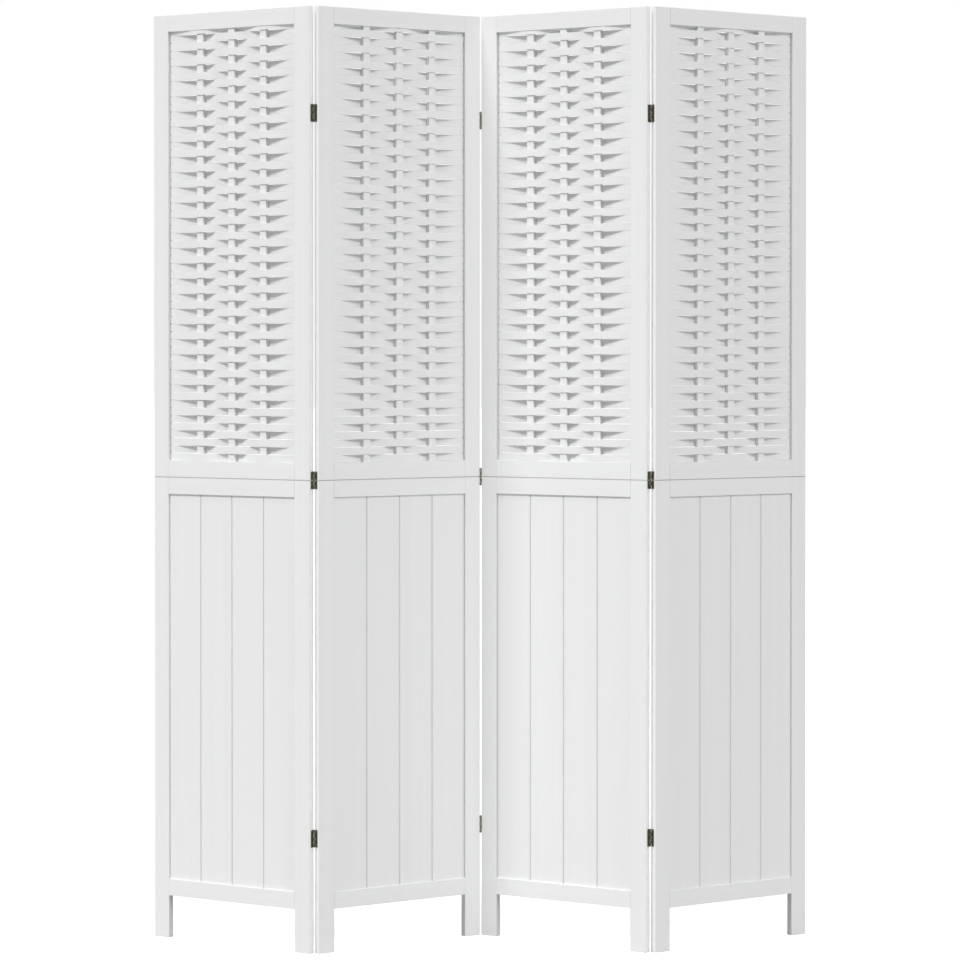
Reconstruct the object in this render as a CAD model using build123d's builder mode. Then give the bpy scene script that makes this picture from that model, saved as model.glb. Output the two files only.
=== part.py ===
from build123d import *
from math import cos, radians, sin
import os

# Folding screen of four hinged panels, standing in a zigzag.
# Each panel is an upper frame with a woven slat infill and a lower frame with tongue and groove boards,
# the lower one on two legs. Millimetres, +Z up, the floor at Z = 0.
# Every panel is drawn in its own frame: X along its width from its middle, Y through its thickness.

# Panel and its stance
panel_count = 4
panel_width = 348.0
panel_height = 1700.0
seam_height = 850.0          # joint between the lower and the upper frame
leg_height = 78.0            # clear height under the bottom rail
fold_angle = 32.7            # each panel's turn from the line of the screen, degrees

# Frame members
frame_thickness = 13.0
stile_width = 33.0
top_rail_height = 31.0
sill_rail_height = 31.0      # bottom rail of the upper frame
cap_rail_height = 31.0       # top rail of the lower frame
bottom_rail_height = 31.0
arris_radius = 0.8
tenon_length = 8.0
tenon_thickness = 5.0
tenon_shoulder = 4.5         # wood left above and below a tenon, clear of any groove
joint_clearance = 0.15

# Dowels that join the two frames of a panel across the seam
dowel_radius = 3.0
dowel_cover = 7.0            # wood left in the rails beyond the ends of a dowel

# Tongue and groove boards in the lower frame
board_count = 4
board_thickness = 6.0
board_housing = 5.0          # depth to which the boards enter the frame
tongue_length = 3.0
tongue_thickness = 2.0
vee_depth = 1.2

# Battens and woven slats in the upper frame
batten_count = 3
batten_width = 14.0
batten_thickness = 8.0
batten_housing = 6.0         # depth to which the battens enter the rails
slat_height = 13.6
slat_thickness = 2.0
slat_spacing = 0.35
slat_housing = 5.0           # depth to which the slats enter the stiles
weave_clearance = 0.2        # between a slat and the batten that it bends round

# Butt hinges
hinge_height = 31.0
top_hinge_drop = 191.5       # from the top of the panel to the middle of the hinge
bottom_hinge_rise = 206.0    # from the floor to the middle of the hinge
barrel_radius = 1.7
barrel_standoff = 0.6        # from the face of the frame to the axis of the pin
barrel_play = 0.3            # between the barrel and the floor of the leaf's recess
leaf_thickness = 1.0
leaf_recess = 1.0
leaf_reach = 8.5             # from the face of the frame across its edge
knuckle_count = 5
knuckle_gap = 0.2
pin_radius = 0.9
pin_head_radius = 1.2
pin_head_height = 0.7
running_clearance = 0.05
sweep_clearance = 0.4        # round the other leaf's knuckles
seam_slit = 1.0              # in the leaves that straddle the seam

# Hinge screws
screw_radius = 1.0
screw_head_radius = 2.0
head_seat = 0.1              # thickness of leaf left behind a screw's head
screw_length = 12.0
screw_spacing = 18.0
screw_inset = 5.0            # from the face of the frame to the middle of the screw
recess_width = 0.5
recess_depth = 0.4

# Sizes that follow from the ones above
panel_gap = 2 * (barrel_radius + barrel_play - leaf_recess)
opening_width = panel_width - 2 * stile_width
weave_bottom = seam_height + sill_rail_height
weave_top = panel_height - top_rail_height
weave_height = weave_top - weave_bottom
board_bottom = leg_height + bottom_rail_height
board_top = seam_height - cap_rail_height
batten_pitch = opening_width / (batten_count + 1)
rail_dowel_offset = batten_pitch / 2
dowel_top = weave_bottom - dowel_cover
dowel_bottom = board_top + dowel_cover
slat_pitch = slat_height + slat_spacing
full_slats = int(weave_height / slat_pitch)
weave_rise = batten_thickness / 2 + weave_clearance + slat_thickness / 2
board_pitch = opening_width / board_count
groove_width = board_thickness + 2 * joint_clearance
mid_hinge_rise = seam_height
top_hinge_rise = panel_height - top_hinge_drop
axis_offset = frame_thickness / 2 + barrel_standoff
axis_reach = panel_width / 2 + panel_gap / 2
knuckle_pitch = hinge_height / knuckle_count
dowel_hole_length = dowel_top - dowel_bottom + 2 * joint_clearance
cap_height = leaf_thickness - head_seat
fold_spacing = 2 * axis_reach * cos(radians(fold_angle)) + 2 * axis_offset * sin(radians(fold_angle))
slat_groove_width = slat_thickness + 2 * joint_clearance

os.makedirs("parts", exist_ok=True)


def save(piece, name):
    """Label a finished piece and write it to its own file."""
    piece.part.label = name
    export_step(piece.part, f"parts/{name}.step")


def panel_plane(number):
    """Frame of one panel: every second one is turned back to front."""
    heading = -fold_angle if number % 2 == 1 else 180 + fold_angle
    middle = (number - (panel_count + 1) / 2) * fold_spacing
    direction = Vector(1, 0, 0).rotate(Axis.Z, heading)
    return Plane(origin=(middle, 0, 0), x_dir=direction, z_dir=(0, 0, 1))


def hinged_edges(number):
    """Edges of a panel that carry hinges, as (end, face): the end along X and the barrel's face along Y."""
    if number % 2 == 1:
        edges = [(-1, -1), (1, 1)]
    else:
        edges = [(1, -1), (-1, 1)]
    if number == 1:
        return edges[1:]
    if number == panel_count:
        return edges[:1]
    return edges


def screw_heights(rise):
    """Heights of the two screws of a leaf whose middle stands at rise."""
    return [rise - screw_spacing / 2, rise + screw_spacing / 2]


hinge_rises = [bottom_hinge_rise, mid_hinge_rise, top_hinge_rise]


def make_stile(panel, side, bottom, top, groove, tenons, hinges):
    """One upright member with its groove, mortises, dowel hole and hinge recesses.

    groove is (width, depth, low, high); tenons lists the (low, high) of each tenon that enters it.
    """
    groove_size, groove_depth, groove_low, groove_high = groove
    inner = side * opening_width / 2
    outer = side * panel_width / 2
    middle = (inner + outer) / 2
    with BuildPart(panel) as stile:
        with Locations((middle, 0, (bottom + top) / 2)):
            Box(stile_width, frame_thickness, top - bottom)
        fillet(stile.edges(), arris_radius)
        with Locations((inner + side * groove_depth / 2, 0, (groove_low + groove_high) / 2)):
            Box(groove_depth, groove_size, groove_high - groove_low, mode=Mode.SUBTRACT)
        mortise_depth = tenon_length + joint_clearance
        mortise_thickness = tenon_thickness + 2 * joint_clearance
        for low, high in tenons:
            mortise_height = high - low + 2 * joint_clearance
            with Locations((inner + side * mortise_depth / 2, 0, (low + high) / 2)):
                Box(mortise_depth, mortise_thickness, mortise_height, mode=Mode.SUBTRACT)
        with Locations((middle, 0, (dowel_bottom + dowel_top) / 2)):
            Cylinder(dowel_radius + running_clearance, dowel_hole_length, mode=Mode.SUBTRACT)
        for end, face in hinges:
            if end != side:
                continue
            for rise in hinge_rises:
                # the recess runs out through the face on the barrel's side
                recess_height = hinge_height + 2 * sweep_clearance
                recess_reach = leaf_reach + sweep_clearance
                with Locations((outer, face * (frame_thickness - recess_reach) / 2, rise)):
                    Box(2 * leaf_recess, recess_reach, recess_height, mode=Mode.SUBTRACT)
                pilot_depth = screw_length + joint_clearance
                for height in screw_heights(rise):
                    with Locations((outer - side * pilot_depth / 2, screw_line(face), height)):
                        Cylinder(
                            screw_radius + running_clearance,
                            pilot_depth,
                            rotation=(0, 90, 0),
                            mode=Mode.SUBTRACT,
                        )
    return stile


def screw_line(face):
    """Place of the screws across the thickness, on the barrel's side of the edge."""
    return face * (frame_thickness / 2 - screw_inset)


def tenon_span(bottom, top, bottom_housing, top_housing):
    """Low and high end of a rail's tenon, clear of what is housed in the rail's two edges."""
    return (bottom + bottom_housing + tenon_shoulder, top - top_housing - tenon_shoulder)


def make_rail(panel, bottom, top, tenon, groove_at=None, housings_at=None, dowels=False):
    """One cross member with a tenon at each end.

    groove_at is the height of the edge with the boards' groove, and housings_at that of the edge with
    the battens' housings.
    """
    tenon_low, tenon_high = tenon
    with BuildPart(panel) as rail:
        with Locations((0, 0, (bottom + top) / 2)):
            Box(opening_width, frame_thickness, top - bottom)
        fillet(rail.edges().sort_by(SortBy.LENGTH)[-4:], arris_radius)
        with Locations((0, 0, (tenon_low + tenon_high) / 2)):
            Box(opening_width + 2 * tenon_length, tenon_thickness, tenon_high - tenon_low)
        if groove_at is not None:
            with Locations((0, 0, groove_at)):
                Box(opening_width, groove_width, 2 * (board_housing + joint_clearance), mode=Mode.SUBTRACT)
        if housings_at is not None:
            with Locations((0, 0, housings_at)):
                with GridLocations(batten_pitch, 1, batten_count, 1):
                    Box(
                        batten_width + 2 * joint_clearance,
                        batten_thickness + 2 * joint_clearance,
                        2 * (batten_housing + joint_clearance),
                        mode=Mode.SUBTRACT,
                    )
        if dowels:
            with Locations((0, 0, (dowel_bottom + dowel_top) / 2)):
                with GridLocations(2 * rail_dowel_offset, 1, 2, 1):
                    Cylinder(dowel_radius + running_clearance, dowel_hole_length, mode=Mode.SUBTRACT)
    return rail


def make_dowels(panel):
    """Four round dowels across the seam: one in each stile and two between the rails."""
    stile_middle = (panel_width - stile_width) / 2
    middle = (dowel_bottom + dowel_top) / 2
    with BuildPart(panel) as dowels:
        for offset in (rail_dowel_offset, stile_middle):
            with Locations((-offset, 0, middle), (offset, 0, middle)):
                Cylinder(dowel_radius, dowel_top - dowel_bottom)
    return dowels


def make_boards(panel):
    """Tongue and groove boards, seated in the grooves of the lower frame on all four sides."""
    low = board_bottom - board_housing
    high = board_top + board_housing
    half = board_thickness / 2
    play = joint_clearance
    with BuildPart() as boards:
        for index in range(board_count):
            left = -opening_width / 2 + index * board_pitch
            right = left + board_pitch
            first = index == 0
            last = index == board_count - 1
            with BuildSketch(panel.offset(low)):
                start = left - board_housing if first else left + play
                end = right + board_housing if last else right - play
                with BuildLine():
                    left_edge = [(start, half), (start, -half)]
                    right_edge = [(end, -half), (end, half)]
                    if not first:
                        vee = half - vee_depth
                        left_edge = [(start + vee_depth, half), (start, vee), (start, -vee)]
                        left_edge.append((start + vee_depth, -half))
                    if not last:
                        vee = half - vee_depth
                        right_edge = [(end - vee_depth, -half), (end, -vee), (end, vee)]
                        right_edge.append((end - vee_depth, half))
                    Polyline(*left_edge, *right_edge, close=True)
                make_face()
                if not first:
                    with Locations((start, 0)):
                        Rectangle(
                            2 * (tongue_length + play), tongue_thickness + 2 * play, mode=Mode.SUBTRACT
                        )
                if not last:
                    with Locations((end + (tongue_length - vee_depth) / 2, 0)):
                        Rectangle(tongue_length + vee_depth, tongue_thickness)
            extrude(amount=high - low)
    return boards


def make_battens(panel):
    """Upright battens in the mid plane, housed in the two rails of the upper frame."""
    with BuildPart(panel) as battens:
        with Locations((0, 0, (weave_bottom + weave_top) / 2)):
            with GridLocations(batten_pitch, 1, batten_count, 1):
                Box(batten_width, batten_thickness, weave_height + 2 * batten_housing)
        fillet(battens.edges().filter_by(Axis.Z), arris_radius)
    return battens


def slat_heights(first):
    """Heights of every second slat's lower edge, from the sill up."""
    return [weave_bottom + slat_pitch * index for index in range(first, full_slats, 2)]


def slat_line(first_face):
    """Middle line of one slat seen from above: it passes the battens on alternate faces.

    Its ends lie straight in the stiles. From a stile to a batten, and from one batten to the next, it
    bends in two equal arcs that meet half way, level at the stile and where it crosses a batten.
    """
    edge = opening_width / 2
    stops = [(-edge, 0)]
    for index in range(batten_count):
        face = first_face if index % 2 == 0 else -first_face
        stops.append(((index - (batten_count - 1) / 2) * batten_pitch, face * weave_rise))
    stops.append((edge, 0))
    with BuildLine() as wave:
        Line((-edge - slat_housing, 0), (-edge, 0))
        for start, end in zip(stops, stops[1:]):
            half_way = ((start[0] + end[0]) / 2, (start[1] + end[1]) / 2)
            TangentArc(start, half_way, tangent=(1, 0))
            TangentArc(end, half_way, tangent=(-1, 0))
        Line((edge, 0), (edge + slat_housing, 0))
    return wave.line


def make_slats(panel):
    """Woven slats, stacked from the sill to the top rail; the uppermost is ripped to the height left."""
    strip_bottom = weave_bottom + full_slats * slat_pitch
    strip_height = weave_top - strip_bottom - slat_spacing
    with BuildPart() as slats:
        for first, first_face in ((0, -1), (1, 1)):
            with BuildSketch(*[panel.offset(height) for height in slat_heights(first)]):
                trace(slat_line(first_face), line_width=slat_thickness)
            extrude(amount=slat_height)
        if strip_height > slat_thickness:
            first_face = -1 if full_slats % 2 == 0 else 1
            with BuildSketch(panel.offset(strip_bottom)):
                trace(slat_line(first_face), line_width=slat_thickness)
            extrude(amount=strip_height)
    return slats


def knuckle_rises(rise, outer):
    """Middles of the knuckles that one leaf carries: the outer leaf has the first and every second one."""
    first = 0 if outer else 1
    bottom = rise - hinge_height / 2
    return [bottom + (index + 0.5) * knuckle_pitch for index in range(first, knuckle_count, 2)]


def make_leaves(panel, hinges, outer_ends):
    """Hinge leaves of one panel, let into its edges, each rolled into knuckles round the pin."""
    with BuildPart(panel) as leaves:
        for end, face in hinges:
            plate_place = end * (panel_width / 2 - leaf_recess + leaf_thickness / 2)
            plate_reach = leaf_reach + barrel_standoff
            plate_middle = face * (axis_offset - plate_reach / 2)
            axis_place = (end * axis_reach, face * axis_offset)
            outer = end in outer_ends
            for rise in hinge_rises:
                with Locations((plate_place, plate_middle, rise)):
                    Box(leaf_thickness, plate_reach, hinge_height)
                for height in knuckle_rises(rise, not outer):
                    with Locations((*axis_place, height)):
                        Cylinder(
                            barrel_radius + sweep_clearance, knuckle_pitch + knuckle_gap, mode=Mode.SUBTRACT
                        )
                for height in knuckle_rises(rise, outer):
                    with Locations((*axis_place, height)):
                        Cylinder(barrel_radius, knuckle_pitch - knuckle_gap)
                with Locations((*axis_place, rise)):
                    Cylinder(pin_radius + running_clearance, 2 * hinge_height, mode=Mode.SUBTRACT)
                sink_place = end * (panel_width / 2 - leaf_recess + leaf_thickness)
                for height in screw_heights(rise):
                    with Locations((sink_place, screw_line(face), height)):
                        Cylinder(
                            screw_radius + running_clearance,
                            2 * leaf_thickness,
                            rotation=(0, 90, 0),
                            mode=Mode.SUBTRACT,
                        )
                    with Locations((sink_place - end * cap_height / 2, screw_line(face), height)):
                        Cone(
                            screw_radius + running_clearance,
                            screw_head_radius + running_clearance,
                            cap_height,
                            rotation=(0, 90 * end, 0),
                            mode=Mode.SUBTRACT,
                        )
            # the middle leaf is slit where the two frames of the panel meet
            slit_reach = leaf_reach - 2 * barrel_radius
            slit_middle = face * (frame_thickness / 2 - leaf_reach + slit_reach / 2)
            with Locations((plate_place, slit_middle, mid_hinge_rise)):
                Box(2 * leaf_thickness, slit_reach, seam_slit, mode=Mode.SUBTRACT)
    return leaves


def make_screws(panel, hinges):
    """Countersunk screws with a cross recess, driven through the leaves into the stiles."""
    with BuildPart(panel) as screws:
        for end, face in hinges:
            head_place = end * (panel_width / 2 - leaf_recess + leaf_thickness)
            shank_length = screw_length - cap_height - (leaf_thickness - leaf_recess)
            for rise in hinge_rises:
                for height in screw_heights(rise):
                    with Locations((head_place - end * cap_height / 2, screw_line(face), height)):
                        Cone(screw_radius, screw_head_radius, cap_height, rotation=(0, 90 * end, 0))
                    shank_middle = head_place - end * (cap_height + shank_length / 2)
                    with Locations((shank_middle, screw_line(face), height)):
                        Cylinder(screw_radius, shank_length, rotation=(0, 90, 0))
                    arm = 2 * screw_radius
                    with Locations((head_place, screw_line(face), height)):
                        Box(2 * recess_depth, arm, recess_width, mode=Mode.SUBTRACT)
                        Box(2 * recess_depth, recess_width, arm, mode=Mode.SUBTRACT)
    return screws


def make_pins(fold):
    """Pins of one fold's three hinges, headed at both ends, held by the outer knuckles."""
    owner = panel_plane(fold)
    end, face = hinged_edges(fold)[-1]
    with BuildPart(owner) as pins:
        with Locations(*[(end * axis_reach, face * axis_offset, rise) for rise in hinge_rises]):
            Cylinder(pin_radius, hinge_height)
            head_place = (hinge_height + pin_head_height) / 2
            with Locations((0, 0, head_place), (0, 0, -head_place)):
                Cylinder(pin_head_radius, pin_head_height)
    return pins


sides = {"left": -1, "right": 1}
housing = board_housing + joint_clearance
upper_groove = (slat_groove_width, slat_housing + joint_clearance, weave_bottom, weave_top)
lower_groove = (groove_width, housing, board_bottom - housing, board_top + housing)
top_tenon = tenon_span(weave_top, panel_height, batten_housing, 0)
sill_tenon = tenon_span(seam_height, weave_bottom, 0, batten_housing)
cap_tenon = tenon_span(board_top, seam_height, board_housing, 0)
bottom_tenon = tenon_span(leg_height, board_bottom, 0, board_housing)

for number in range(1, panel_count + 1):
    panel = panel_plane(number)
    hinges = hinged_edges(number)
    name = f"panel_{number}"
    # left and right are the screen's own, so they change ends on a panel that is turned
    turned = 1 if number % 2 == 1 else -1
    for side_name, side in sides.items():
        end = side * turned
        upper_tenons = [sill_tenon, top_tenon]
        upper = make_stile(panel, end, seam_height, panel_height, upper_groove, upper_tenons, hinges)
        save(upper, f"{name}_upper_{side_name}_stile")
        lower_tenons = [bottom_tenon, cap_tenon]
        lower = make_stile(panel, end, 0, seam_height, lower_groove, lower_tenons, hinges)
        save(lower, f"{name}_lower_{side_name}_stile")
    top_rail = make_rail(panel, weave_top, panel_height, top_tenon, housings_at=weave_top)
    save(top_rail, f"{name}_top_rail")
    sill = make_rail(panel, seam_height, weave_bottom, sill_tenon, housings_at=weave_bottom, dowels=True)
    save(sill, f"{name}_sill_rail")
    cap = make_rail(panel, board_top, seam_height, cap_tenon, groove_at=board_top, dowels=True)
    save(cap, f"{name}_cap_rail")
    bottom_rail = make_rail(panel, leg_height, board_bottom, bottom_tenon, groove_at=board_bottom)
    save(bottom_rail, f"{name}_bottom_rail")
    save(make_dowels(panel), f"{name}_seam_dowels")
    save(make_boards(panel), f"{name}_boards")
    save(make_battens(panel), f"{name}_battens")
    save(make_slats(panel), f"{name}_slats")
    # at each fold the panel nearer the screen's left end has the outer knuckles
    outer_ends = [hinges[-1][0]] if number < panel_count else []
    save(make_leaves(panel, hinges, outer_ends), f"{name}_hinge_leaves")
    save(make_screws(panel, hinges), f"{name}_hinge_screws")

for fold in range(1, panel_count):
    save(make_pins(fold), f"fold_{fold}_hinge_pins")
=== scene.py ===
from math import cos, pi, radians, sin

import bpy
import numpy as np
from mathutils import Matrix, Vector


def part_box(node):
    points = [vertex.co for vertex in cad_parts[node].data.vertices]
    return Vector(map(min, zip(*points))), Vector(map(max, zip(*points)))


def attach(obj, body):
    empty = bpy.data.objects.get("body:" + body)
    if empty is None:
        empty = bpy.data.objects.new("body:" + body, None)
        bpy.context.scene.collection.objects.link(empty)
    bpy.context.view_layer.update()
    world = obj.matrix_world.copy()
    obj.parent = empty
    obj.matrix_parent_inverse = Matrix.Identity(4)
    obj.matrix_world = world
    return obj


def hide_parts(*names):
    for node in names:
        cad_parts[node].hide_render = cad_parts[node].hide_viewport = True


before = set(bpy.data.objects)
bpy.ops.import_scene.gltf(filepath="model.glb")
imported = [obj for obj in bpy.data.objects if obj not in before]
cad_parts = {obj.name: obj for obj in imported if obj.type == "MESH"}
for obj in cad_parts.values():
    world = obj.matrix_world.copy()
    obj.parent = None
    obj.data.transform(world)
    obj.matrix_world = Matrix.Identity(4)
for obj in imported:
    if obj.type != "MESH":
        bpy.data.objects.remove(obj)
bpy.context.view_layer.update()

# The screen stands as a zigzag of four panels, and every second one is turned back to front.
# The finish of each panel is laid out in the panel's own frame: X along its width from its middle,
# Y through its thickness and Z up from the floor.
panel_numbers = (1, 2, 3, 4)
fold_angle = radians(32.7)


def panel_heading(number):
    """Direction of the panel's own X axis in the floor plane."""
    return -fold_angle if number % 2 == 1 else pi + fold_angle


def panel_middle(number):
    """Middle of the panel in the floor plane, which is the middle of its top rail's box."""
    low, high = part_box(f"panel_{number}_top_rail")
    return (low + high) / 2


# Stiles and rails: planed softwood with its arrises eased, glued up with mortise and tenon joints and
# sprayed with satin white paint. The grain runs along each member and stands very slightly in the paint.
# A hairline shows at the shoulders, where a rail meets its stiles, and a darker one along the seam.
paint_light = (0.845, 0.855, 0.85, 1)
paint_shade = (0.815, 0.822, 0.816, 1)
fibre_width = 0.0022
fibre_length = 0.16
film_grain = 0.0009          # size of the paint film's own ripple
shoulder_width = 0.0005
shoulder_shade = (0.78, 0.78, 0.77, 1)
seam_height = 0.85
seam_width = 0.0012          # from the middle of the seam to where its dark line has faded out
seam_shade = (0.3, 0.3, 0.295, 1)
edge_shade_width = 0.0006         # of the painted shade along a stile's inner edge, beside the slats and boards
edge_painted_shade = (0.68, 0.685, 0.68, 1)
grain_low = 0.35             # the part of the grain's noise that tone and gloss are spread over
grain_high = 0.65
relief_strength = 0.35
frame_roughness = (0.4, 0.52)
stile_relief = 0.00025
stile_width = 0.033
panel_width = 0.348
opening_half = panel_width / 2 - stile_width


def link(tree, source, output, target, socket):
    """Joins a node's named output to another node's named or numbered input."""
    tree.links.new(source.outputs[output], target.inputs[socket])


def make_grain_group():
    """Wood grain under paint: long noise along the fibres, broad bands across them and a fine film ripple."""
    tree = bpy.data.node_groups.new("grain_under_paint", "ShaderNodeTree")
    tree.interface.new_socket("Place", in_out="INPUT", socket_type="NodeSocketVector")
    tree.interface.new_socket("Stretch", in_out="INPUT", socket_type="NodeSocketVector")
    tree.interface.new_socket("Seed", in_out="INPUT", socket_type="NodeSocketFloat")
    tree.interface.new_socket("Tone", in_out="OUTPUT", socket_type="NodeSocketFloat")
    tree.interface.new_socket("Height", in_out="OUTPUT", socket_type="NodeSocketFloat")
    given = tree.nodes.new("NodeGroupInput")
    result = tree.nodes.new("NodeGroupOutput")
    stretched = tree.nodes.new("ShaderNodeVectorMath")
    stretched.operation = "MULTIPLY"
    link(tree, given, "Place", stretched, 0)
    link(tree, given, "Stretch", stretched, 1)
    fibres = tree.nodes.new("ShaderNodeTexNoise")
    fibres.noise_dimensions = "4D"
    fibres.inputs["Scale"].default_value = 1
    fibres.inputs["Detail"].default_value = 4
    fibres.inputs["Roughness"].default_value = 0.6
    link(tree, stretched, 0, fibres, "Vector")
    link(tree, given, "Seed", fibres, "W")
    bands = tree.nodes.new("ShaderNodeTexNoise")
    bands.noise_dimensions = "4D"
    bands.inputs["Scale"].default_value = 0.14
    bands.inputs["Detail"].default_value = 2
    link(tree, stretched, 0, bands, "Vector")
    link(tree, given, "Seed", bands, "W")
    film = tree.nodes.new("ShaderNodeTexNoise")
    film.inputs["Scale"].default_value = 1 / film_grain
    film.inputs["Detail"].default_value = 2
    link(tree, given, "Place", film, "Vector")
    tone = tree.nodes.new("ShaderNodeMix")
    tone.inputs["Factor"].default_value = 0.55
    link(tree, fibres, "Fac", tone, "A")
    link(tree, bands, "Fac", tone, "B")
    link(tree, tone, "Result", result, "Tone")
    height = tree.nodes.new("ShaderNodeMix")
    height.inputs["Factor"].default_value = 0.3
    link(tree, fibres, "Fac", height, "A")
    link(tree, film, "Fac", height, "B")
    link(tree, height, "Result", result, "Height")
    return tree


grain_group = make_grain_group()


def new_material(name):
    """A material with its node tree and its shader."""
    material = bpy.data.materials.new(name)
    material.use_nodes = True
    tree = material.node_tree
    return material, tree, tree.nodes["Principled BSDF"]


def panel_place(tree, number):
    """Object coordinates turned into the panel's frame: the middle is taken away, then the heading."""
    place = tree.nodes.new("ShaderNodeTexCoord")
    turned = tree.nodes.new("ShaderNodeMapping")
    heading = panel_heading(number)
    middle = panel_middle(number)
    turned.inputs["Rotation"].default_value = (0, 0, -heading)
    turned.inputs["Location"].default_value = (
        -cos(heading) * middle.x - sin(heading) * middle.y,
        sin(heading) * middle.x - cos(heading) * middle.y,
        0,
    )
    link(tree, place, "Object", turned, "Vector")
    return turned


def spread(tree, source, output, low, high, to_low, to_high):
    """Carries a value from one range to another, without passing its ends."""
    ranged = tree.nodes.new("ShaderNodeMapRange")
    ranged.inputs["From Min"].default_value = low
    ranged.inputs["From Max"].default_value = high
    ranged.inputs["To Min"].default_value = to_low
    ranged.inputs["To Max"].default_value = to_high
    link(tree, source, output, ranged, "Value")
    return ranged


def tint(tree, shade, light):
    """A colour mix with its two colours set and its factor still free."""
    mixed = tree.nodes.new("ShaderNodeMix")
    mixed.data_type = "RGBA"
    mixed.inputs["A"].default_value = shade
    mixed.inputs["B"].default_value = light
    return mixed


def painted_wood(name, number, along, seed, relief, roughness=frame_roughness):
    """Painted wood with its fibres along the panel's X or Z; returns the material and the nodes to add to."""
    material, tree, shader = new_material(name)
    place = panel_place(tree, number)
    grain = tree.nodes.new("ShaderNodeGroup")
    grain.node_tree = grain_group
    across = 1 / fibre_width
    lengthwise = 1 / fibre_length
    stretch = (lengthwise, across, across) if along == "x" else (across, across, lengthwise)
    grain.inputs["Stretch"].default_value = stretch
    grain.inputs["Seed"].default_value = seed
    link(tree, place, "Vector", grain, "Place")
    factor = spread(tree, grain, "Tone", grain_low, grain_high, 0, 1)
    colour = tint(tree, paint_shade, paint_light)
    link(tree, factor, "Result", colour, "Factor")
    link(tree, colour, "Result", shader, "Base Color")
    gloss = spread(tree, grain, "Tone", grain_low, grain_high, roughness[1], roughness[0])
    link(tree, gloss, "Result", shader, "Roughness")
    bump = tree.nodes.new("ShaderNodeBump")
    bump.inputs["Strength"].default_value = relief_strength
    bump.inputs["Distance"].default_value = relief
    link(tree, grain, "Height", bump, "Height")
    link(tree, bump, "Normal", shader, "Normal")
    return material, tree, shader, place, colour


def arithmetic(tree, operation, source, output, other=0.0):
    """One sum on a node's named output and a constant."""
    sum_node = tree.nodes.new("ShaderNodeMath")
    sum_node.operation = operation
    sum_node.inputs[1].default_value = other
    link(tree, source, output, sum_node, 0)
    return sum_node


def panel_axes(tree, place):
    """The three coordinates in the panel's frame."""
    axes = tree.nodes.new("ShaderNodeSeparateXYZ")
    link(tree, place, "Vector", axes, 0)
    return axes


def lay_shade(tree, shader, colour, near, shade, output="Result"):
    """Lays a shade over the paint as far as near's output goes from 0 to 1; returns the new colour."""
    shaded = tint(tree, paint_light, shade)
    link(tree, colour, "Result", shaded, "A")
    link(tree, near, output, shaded, "Factor")
    link(tree, shaded, "Result", shader, "Base Color")
    return shaded


def shoulder_line(tree, shader, place, colour):
    """Darkens the hairline at both ends of a rail, where |x| comes near to the stile."""
    reach = arithmetic(tree, "ABSOLUTE", panel_axes(tree, place), "X")
    near = spread(tree, reach, "Value", opening_half - shoulder_width, opening_half, 0, 1)
    return lay_shade(tree, shader, colour, near, shoulder_shade)


def paint_edge_shade(tree, shader, place, colour):
    """Paints shade on the edge of a stile that the slats and boards run into, where |x| comes down to the
    opening.
    """
    reach = arithmetic(tree, "ABSOLUTE", panel_axes(tree, place), "X")
    near = spread(tree, reach, "Value", opening_half, opening_half + edge_shade_width, 1, 0)
    return lay_shade(tree, shader, colour, near, edge_painted_shade)


def seam_line(tree, shader, place, colour):
    """Darkens the line along which the two frames of a panel meet."""
    rise = arithmetic(tree, "SUBTRACT", panel_axes(tree, place), "Z", seam_height)
    away = arithmetic(tree, "ABSOLUTE", rise, "Value")
    near = spread(tree, away, "Value", 0, seam_width, 1, 0)
    return lay_shade(tree, shader, colour, near, seam_shade)


def finish_node(name, material):
    """Gives a CAD node its one material."""
    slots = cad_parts[name].data.materials
    slots.clear()
    slots.append(material)


for number in panel_numbers:
    stile_paint, tree, shader, place, colour = painted_wood(
        f"stile_paint_{number}", number, "z", number, stile_relief
    )
    # painted shade along the stiles' inner edges, where the slats and boards run into them
    colour = paint_edge_shade(tree, shader, place, colour)
    seam_line(tree, shader, place, colour)
    for level in ("upper", "lower"):
        for side in ("left", "right"):
            finish_node(f"panel_{number}_{level}_{side}_stile", stile_paint)
    rail_paint, tree, shader, place, colour = painted_wood(
        f"rail_paint_{number}", number, "x", number + len(panel_numbers), stile_relief
    )
    colour = shoulder_line(tree, shader, place, colour)
    seam_line(tree, shader, place, colour)
    for rail in ("top", "sill", "cap", "bottom"):
        finish_node(f"panel_{number}_{rail}_rail", rail_paint)


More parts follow.
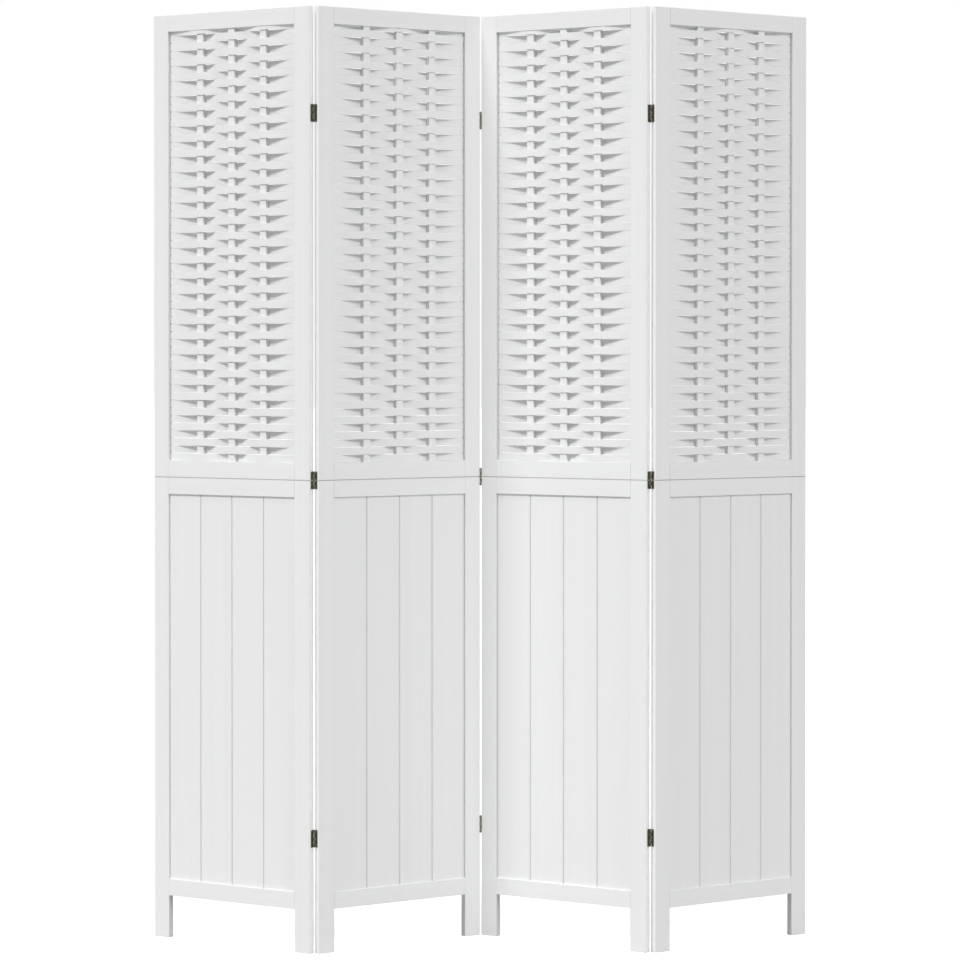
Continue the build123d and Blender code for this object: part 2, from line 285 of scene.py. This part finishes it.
# Boards: four thin upright boards in each lower frame, joined by tongue and groove with a vee between
# them, and sprayed with the frame. They are smoother than the frame, and each board has its own tone.
# Shade is painted in and beside the vees, and along the boards' ends by the stiles.
board_relief = 0.00012
board_roughness = (0.36, 0.46)
board_count = 4
board_pitch = 2 * opening_half / board_count
board_shift = 0.3            # how far one board's tone may lie from the next
groove_shade_reach = 0.003            # from the middle of a vee to where its painted shade has faded out
groove_painted_shade = (0.74, 0.745, 0.74, 1)
for number in panel_numbers:
    board_paint, tree, shader, place, colour = painted_wood(
        f"board_paint_{number}", number, "z", 3 * number, board_relief, board_roughness
    )
    board = spread(tree, panel_axes(tree, place), "X", -opening_half, opening_half, 0, board_count)
    step = arithmetic(tree, "FLOOR", board, "Result")
    own = tree.nodes.new("ShaderNodeTexWhiteNoise")
    own.noise_dimensions = "1D"
    link(tree, step, "Value", own, "W")
    own_tone = spread(tree, own, "Value", 0, 1, 0, board_shift)
    colour = lay_shade(tree, shader, colour, own_tone, paint_shade)
    away = arithmetic(tree, "PINGPONG", board, "Result", 0.5)
    near = spread(tree, away, "Value", 0, groove_shade_reach / board_pitch, 1, 0)
    # painted shade in and beside the vees, and at the boards' ends by the stiles
    lay_shade(tree, shader, colour, near, groove_painted_shade)
    finish_node(f"panel_{number}_boards", board_paint)


# Battens: three upright bars in each upper frame, housed in its rails. The slats are woven round them, so
# they show only between the slats as short bright bars. Same paint, sprayed before the weaving.
batten_relief = 0.0002
for number in panel_numbers:
    batten_paint = painted_wood(f"batten_paint_{number}", number, "z", 5 * number, batten_relief)[0]
    finish_node(f"panel_{number}_battens", batten_paint)


# Slats: thin flexible strips of wood with softened edges, woven round the battens one row in front and the
# next behind, their ends let into grooves in the stiles. The topmost strip is ripped to the height left.
# They stand where the solids of the same name do, and no two lie quite alike.
slat_height = 0.0136
slat_thickness = 0.002
slat_pitch = 0.01395
slat_housing = 0.005
slat_easing = 0.00025        # height over which a slat's long edges are rounded
weave_rise = 0.0052          # from the mid plane to the middle of a slat where it crosses a batten
batten_count = 3
batten_pitch = 2 * opening_half / (batten_count + 1)
arc_steps = 2                # along each arc of a slat's bend
slat_play = 0.0001           # by how much a slat may fall short of its height
slat_lean = 0.02             # spread of the slats' lean, as a slope
slat_shift = 0.5             # how far one slat's tone may lie from the next
slat_relief = 0.00012
slat_roughness = (0.38, 0.5)
slat_soft_angle = radians(40)


def slat_bend(first_face):
    """Middle line of a slat: it lies straight in the stiles, and from a stile to a batten or from one batten
    to the next it bends in two equal arcs that meet half way, level at both ends."""
    stops = [(-opening_half, 0)]
    for index in range(batten_count):
        face = first_face if index % 2 == 0 else -first_face
        stops.append(((index - (batten_count - 1) / 2) * batten_pitch, face * weave_rise))
    stops.append((opening_half, 0))
    places = [np.array([-opening_half - slat_housing, -opening_half])]
    depths = [np.zeros(2)]
    for (start, start_depth), (end, end_depth) in zip(stops, stops[1:]):
        half_run = (end - start) / 2
        half_rise = (end_depth - start_depth) / 2
        radius = (half_run**2 + half_rise**2) / (2 * half_rise)
        along = np.linspace(0, half_run, arc_steps + 1)
        sag = radius - np.sign(radius) * np.sqrt(radius**2 - along**2)
        places += [start + along[1:], end - along[-2::-1]]
        depths += [start_depth + sag[1:], end_depth - sag[-2::-1]]
    places.append(np.array([opening_half + slat_housing]))
    depths.append(np.zeros(1))
    return np.concatenate(places), np.concatenate(depths)


def slat_surface(bottom, top, first_face, tilt):
    """Six-sided section, flat in front and behind and roofed above and below, carried along the bend and
    leaned by tilt: y grows with the height above the slat's middle."""
    places, bend = slat_bend(first_face)
    half = slat_thickness / 2
    section_y = np.array([-half, -half, 0, half, half, 0])
    low = bottom + slat_easing
    high = top - slat_easing
    section_z = np.array([low, high, top, high, low, bottom])
    x = np.repeat(places[:, None], len(section_y), axis=1)
    lean = tilt * (section_z - (bottom + top) / 2)
    y = bend[:, None] + section_y + lean
    z = np.repeat(section_z[None, :], len(places), axis=0)
    points = np.stack([x, y, z], axis=2).reshape(-1, 3)
    sides = len(section_y)
    column, side = np.meshgrid(np.arange(len(places) - 1), np.arange(sides), indexing="ij")
    following = (side + 1) % sides
    quads = np.stack(
        [column * sides + side, (column + 1) * sides + side, (column + 1) * sides + following,
         column * sides + following], axis=2
    ).reshape(-1, 4)
    last = (len(places) - 1) * sides
    caps = [list(range(sides)), [last + corner for corner in reversed(range(sides))]]
    return points, quads, caps


def slat_rows():
    """Lower and upper edge of each slat from the sill up, and the face it passes the first batten on."""
    weave_low, weave_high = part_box("panel_1_slats")
    rows = []
    bottom = weave_low.z
    while bottom + slat_easing * 2 < weave_high.z:
        first_face = -1 if len(rows) % 2 == 0 else 1
        rows.append((bottom, min(bottom + slat_height, weave_high.z), first_face))
        bottom += slat_pitch
    return rows


def weave_panel(number):
    """All the slats of one panel in one mesh, each with its own small lean and its own tone."""
    random = np.random.default_rng(number)
    heading = panel_heading(number)
    middle = panel_middle(number)
    turn = np.array([[cos(heading), sin(heading), 0], [-sin(heading), cos(heading), 0], [0, 0, 1]])
    all_points = []
    all_faces = []
    tones = []
    count = 0
    for bottom, top, first_face in slat_rows():
        shrink = slat_play * random.random()
        tilt = slat_lean * (random.random() - 0.5)
        points, quads, caps = slat_surface(bottom, top - shrink, first_face, tilt)
        all_points.append(points @ turn + np.array([middle.x, middle.y, 0]))
        all_faces += (quads + count).tolist()
        all_faces += [[corner + count for corner in cap] for cap in caps]
        tones.append(np.full(len(points), random.random()))
        count += len(points)
    mesh = bpy.data.meshes.new(f"panel_{number}_woven_slats")
    mesh.from_pydata(np.concatenate(all_points).tolist(), [], all_faces)
    tone = mesh.attributes.new("slat_tone", "FLOAT", "POINT")
    tone.data.foreach_set("value", np.concatenate(tones))
    mesh.validate()
    slats = bpy.data.objects.new(f"panel_{number}_woven_slats", mesh)
    bpy.context.scene.collection.objects.link(slats)
    return slats


def soften(piece, angle):
    """Smooth shading, except over edges sharper than the angle."""
    piece.data.shade_smooth()
    piece.data.set_sharp_from_angle(angle=angle)


for number in panel_numbers:
    slat_paint, tree, shader, place, colour = painted_wood(
        f"slat_paint_{number}", number, "x", 7 * number, slat_relief, slat_roughness
    )
    own = tree.nodes.new("ShaderNodeAttribute")
    own.attribute_name = "slat_tone"
    own_tone = spread(tree, own, "Fac", 0, 1, 0, slat_shift)
    lay_shade(tree, shader, colour, own_tone, paint_shade)
    slats = weave_panel(number)
    slats.data.materials.append(slat_paint)
    soften(slats, slat_soft_angle)
    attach(slats, f"panel_{number}")
    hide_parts(f"panel_{number}_slats")


# Dowels: round beech pegs glued into both frames of a panel across the seam. They are bare wood and show
# only when the frames are taken apart.
dowel_light = (0.72, 0.56, 0.36, 1)
dowel_shade = (0.56, 0.4, 0.23, 1)
dowel_relief = 0.0002
dowel_roughness = (0.55, 0.7)
for number in panel_numbers:
    dowel_wood, *_, colour = painted_wood(
        f"dowel_wood_{number}", number, "z", 11 * number, dowel_relief, dowel_roughness
    )
    colour.inputs["A"].default_value = dowel_shade
    colour.inputs["B"].default_value = dowel_light
    finish_node(f"panel_{number}_seam_dowels", dowel_wood)


# Hinges: pressed steel butt hinges let into the edges, with rolled knuckles on headed pins, held by
# countersunk cross-head screws. All have a dark antique bronze plating, mottled olive and brown and rubbed
# lighter in places. A pale line is painted across the middle leaves along the seam, where they are slit.
bronze_dark = (0.1, 0.092, 0.069, 1)
bronze_light = (0.33, 0.31, 0.24, 1)
mottle_size = 0.0035
rub_start = 0.4              # the part of the mottling over which dark turns to rubbed light
rub_end = 0.68
plating_metal = 0.85
plating_strength = 0.25
plating_relief = 0.0002
notch_half = 0.0013          # half the height of the pale line painted along the seam on the middle hinges
notch_pale_colour = (0.72, 0.72, 0.7, 1)
knuckle_start = 0.0045       # from the mid plane of a panel to where its leaves begin to curl


def make_plating_group():
    """Antique plating: cloudy mottling with a finer speckle on it."""
    tree = bpy.data.node_groups.new("antique_plating", "ShaderNodeTree")
    tree.interface.new_socket("Place", in_out="INPUT", socket_type="NodeSocketVector")
    tree.interface.new_socket("Size", in_out="INPUT", socket_type="NodeSocketFloat")
    tree.interface.new_socket("Rub", in_out="OUTPUT", socket_type="NodeSocketFloat")
    tree.interface.new_socket("Height", in_out="OUTPUT", socket_type="NodeSocketFloat")
    given = tree.nodes.new("NodeGroupInput")
    result = tree.nodes.new("NodeGroupOutput")
    density = tree.nodes.new("ShaderNodeMath")
    density.operation = "DIVIDE"
    density.inputs[0].default_value = 1
    link(tree, given, "Size", density, 1)
    clouds = tree.nodes.new("ShaderNodeTexNoise")
    clouds.inputs["Detail"].default_value = 4
    clouds.inputs["Roughness"].default_value = 0.65
    link(tree, given, "Place", clouds, "Vector")
    link(tree, density, "Value", clouds, "Scale")
    rub = spread(tree, clouds, "Fac", rub_start, rub_end, 0, 1)
    link(tree, rub, "Result", result, "Rub")
    link(tree, clouds, "Fac", result, "Height")
    return tree


plating_group = make_plating_group()


def plated_metal(name, dark, light, size, roughness):
    """Plated steel whose colour and gloss follow the mottling."""
    material, tree, shader = new_material(name)
    place = tree.nodes.new("ShaderNodeTexCoord")
    plating = tree.nodes.new("ShaderNodeGroup")
    plating.node_tree = plating_group
    plating.inputs["Size"].default_value = size
    link(tree, place, "Object", plating, "Place")
    colour = tint(tree, dark, light)
    link(tree, plating, "Rub", colour, "Factor")
    link(tree, colour, "Result", shader, "Base Color")
    gloss = spread(tree, plating, "Rub", 0, 1, roughness[1], roughness[0])
    link(tree, gloss, "Result", shader, "Roughness")
    shader.inputs["Metallic"].default_value = plating_metal
    bump = tree.nodes.new("ShaderNodeBump")
    bump.inputs["Strength"].default_value = plating_strength
    bump.inputs["Distance"].default_value = plating_relief
    link(tree, plating, "Height", bump, "Height")
    link(tree, bump, "Normal", shader, "Normal")
    return material, tree, shader, colour


def pale_seam_line(tree, shader, colour, number):
    """A pale line painted on the flat of a leaf along the seam, where the leaves are slit; the knuckles,
    further out in Y, keep clear of it.
    """
    axes = panel_axes(tree, panel_place(tree, number))
    rise = arithmetic(tree, "SUBTRACT", axes, "Z", seam_height)
    away = arithmetic(tree, "ABSOLUTE", rise, "Value")
    near = spread(tree, away, "Value", notch_half / 2, notch_half, 1, 0)
    depth = arithmetic(tree, "ABSOLUTE", axes, "Y")
    on_flat = spread(tree, depth, "Value", knuckle_start, knuckle_start + notch_half / 2, 1, 0)
    painted = arithmetic(tree, "MULTIPLY", near, "Result")
    link(tree, on_flat, "Result", painted, 1)
    # the pale line painted along the seam, where the leaves are slit
    lay_shade(tree, shader, colour, painted, notch_pale_colour, "Value")


pin_bronze = plated_metal("pin_bronze", bronze_dark, bronze_light, mottle_size / 2, (0.28, 0.42))[0]
screw_bronze = plated_metal("screw_bronze", bronze_dark, bronze_light, mottle_size / 3, (0.3, 0.45))[0]
for number in panel_numbers:
    leaf_bronze, tree, shader, colour = plated_metal(
        f"leaf_bronze_{number}", bronze_dark, bronze_light, mottle_size, (0.32, 0.5)
    )
    pale_seam_line(tree, shader, colour, number)
    finish_node(f"panel_{number}_hinge_leaves", leaf_bronze)
    finish_node(f"panel_{number}_hinge_screws", screw_bronze)
for fold in panel_numbers[:-1]:
    finish_node(f"fold_{fold}_hinge_pins", pin_bronze)


# Studio: a plain white floor that runs out to a white background. The floor keeps the screen's shadow, and
# what the camera, gloss and glass see of floor and background is lifted to white.
floor_reach = 60.0
floor_white = (0.4, 0.4, 0.4, 1)
floor_roughness = 0.9
floor_lift = 0.8
surround_level = 0.24        # light that the white room sends to the screen from all round


def seen_directly(tree):
    """1 for rays from the camera and for those that gloss or glass sends on, and 0 for the rest."""
    path = tree.nodes.new("ShaderNodeLightPath")
    two_kinds = arithmetic(tree, "ADD", path, "Is Camera Ray")
    link(tree, path, "Is Glossy Ray", two_kinds, 1)
    all_kinds = arithmetic(tree, "ADD", two_kinds, "Value")
    all_kinds.use_clamp = True
    link(tree, path, "Is Transmission Ray", all_kinds, 1)
    return all_kinds


corners = [(-floor_reach, -floor_reach, 0), (floor_reach, -floor_reach, 0), (floor_reach, floor_reach, 0),
           (-floor_reach, floor_reach, 0)]
floor_mesh = bpy.data.meshes.new("studio_floor")
floor_mesh.from_pydata(corners, [], [(0, 1, 2, 3)])
floor = bpy.data.objects.new("studio_floor", floor_mesh)
bpy.context.scene.collection.objects.link(floor)
floor_paint, tree, shader = new_material("studio_floor")
shader.inputs["Base Color"].default_value = floor_white
shader.inputs["Roughness"].default_value = floor_roughness
shader.inputs["Emission Color"].default_value = (1, 1, 1, 1)
lift = spread(tree, seen_directly(tree), "Value", 0, 1, 0, floor_lift)
link(tree, lift, "Result", shader, "Emission Strength")
floor_mesh.materials.append(floor_paint)

world = bpy.data.worlds.new("studio_surround")
bpy.context.scene.world = world
world.use_nodes = True
tree = world.node_tree
background = tree.nodes["Background"]
background.inputs["Color"].default_value = (1, 1, 1, 1)
level = spread(tree, seen_directly(tree), "Value", 0, 1, surround_level, 1)
link(tree, level, "Result", background, "Strength")


# Lamps: a large soft lamp far out on either side, each facing two of the panels, and weak ones in front and
# behind. The left one is the strongest, and the right one is low, so the shadows on its panels are shorter.
lamp_softness = radians(16)
lamp_settings = {            # degrees left of the front, degrees up, level
    "left_lamp": (60, 44, 2.1),
    "front_lamp": (0, 46, 0.45),
    "right_lamp": (-50, 33, 1.29),
    "back_lamp": (165, 45, 0.7),
}
for name, (degrees_left, degrees_up, level) in lamp_settings.items():
    azimuth = radians(degrees_left)
    elevation = radians(degrees_up)
    toward_lamp = Vector((
        -sin(azimuth) * cos(elevation),
        -cos(azimuth) * cos(elevation),
        sin(elevation),
    ))
    light = bpy.data.lights.new(name, "SUN")
    light.energy = level
    light.angle = lamp_softness
    lamp = bpy.data.objects.new(name, light)
    lamp.rotation_euler = toward_lamp.to_track_quat("Z", "Y").to_euler()
    bpy.context.scene.collection.objects.link(lamp)


# Camera: where the photograph was taken from, at chest height with a long lens. It looks a little down and
# to the right, and a small shift keeps the uprights nearly parallel.
camera_place = (-0.1122, -5.8906, 1.0743)
camera_yaw = radians(1.063)
camera_pitch = radians(-0.678)
camera_lens = 121.19
camera_shift = -0.09
film_width = 36
sight_reach = 200            # beyond the far edge of the floor
camera = bpy.data.cameras.new("camera")
camera.sensor_width = film_width
camera.lens = camera_lens
camera.shift_y = camera_shift
camera.clip_end = sight_reach
viewpoint = bpy.data.objects.new("camera", camera)
viewpoint.location = camera_place
viewpoint.rotation_euler = (pi / 2 + camera_pitch, 0, -camera_yaw)
bpy.context.scene.collection.objects.link(viewpoint)
bpy.context.scene.camera = viewpoint
bpy.context.scene.view_settings.view_transform = "Standard"
